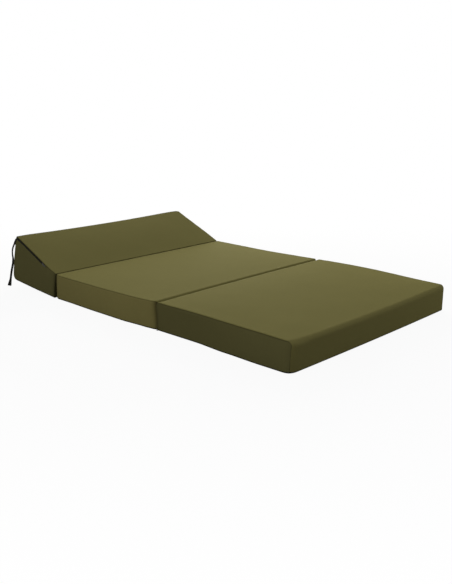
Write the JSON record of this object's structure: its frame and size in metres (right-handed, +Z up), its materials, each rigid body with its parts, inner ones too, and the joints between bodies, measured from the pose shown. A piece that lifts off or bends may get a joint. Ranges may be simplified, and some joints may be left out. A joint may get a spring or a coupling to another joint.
{
  "type": "folding bed",
  "caption": "Fold-out foam bed of foot and middle panels and a raised wedge headrest, in fabric covers with fabric hinges, a zip and a tie",
  "frame": {"origin": "on the floor, under the middle of the bed without its tie", "axes": "X across the bed, Y from the foot end to the wedge at the head, Z up"},
  "size_m": [1.233, 1.9846, 0.2881],
  "materials": {
    "cover_fabric": "matt woven olive fabric",
    "side_fabric": "matt woven olive fabric",
    "base_fabric": "near-black woven fabric with grip dots",
    "joint_fabric": "matt woven olive fabric",
    "foam": "open-cell polyurethane foam",
    "zip_tape": "near-black coil zip",
    "zip_metal": "black enamel",
    "tie_tape": "near-black woven tape"
  },
  "bodies": {
    "middle_section": {"middle_core": "foam", "middle_base": "base_fabric", "middle_left_gusset": "side_fabric", "middle_right_gusset": "side_fabric", "middle_cover": "cover_fabric", "fold_flange": "joint_fabric", "crease_flange": "joint_fabric"},
    "foot_section": {"foot_core": "foam", "foot_base": "base_fabric", "foot_left_gusset": "side_fabric", "foot_right_gusset": "side_fabric", "foot_cover": "cover_fabric"},
    "wedge_section": {"wedge_core": "foam", "wedge_base": "base_fabric", "wedge_left_gusset": "side_fabric", "wedge_right_gusset": "side_fabric", "wedge_slope_cover": "cover_fabric", "wedge_rear_panel": "cover_fabric", "wedge_zip": "zip_tape", "tie_tab": "tie_tape", "tie": "tie_tape", "tie_hem": "tie_tape"},
    "zip_slider_body": {"zip_slider": "zip_metal"},
    "zip_pull_body": {"zip_pull": "zip_metal"}
  },
  "joints": [
    {"name": "foot_fold", "type": "hinge", "parent": "middle_section", "child": "foot_section", "pos_m": [0, -0.19223, -0.0004], "axis": [1, 0, 0], "range_deg": [0, 180]},
    {"name": "wedge_fold", "type": "hinge", "parent": "middle_section", "child": "wedge_section", "pos_m": [0, 0.58537, 0.1314], "axis": [1, 0, 0], "range_deg": [-5.5, 150]},
    {"name": "zip_slide", "type": "slide", "parent": "wedge_section", "child": "zip_slider_body", "axis": [0, 0.9072, 0.4206], "range_m": [0, 0.254]},
    {"name": "zip_pull_swing", "type": "hinge", "parent": "zip_slider_body", "child": "zip_pull_body", "pos_m": [-0.6055, 0.68718, 0.17128], "axis": [0, 0.4206, -0.9072], "range_deg": [0, 165]}
  ]
}
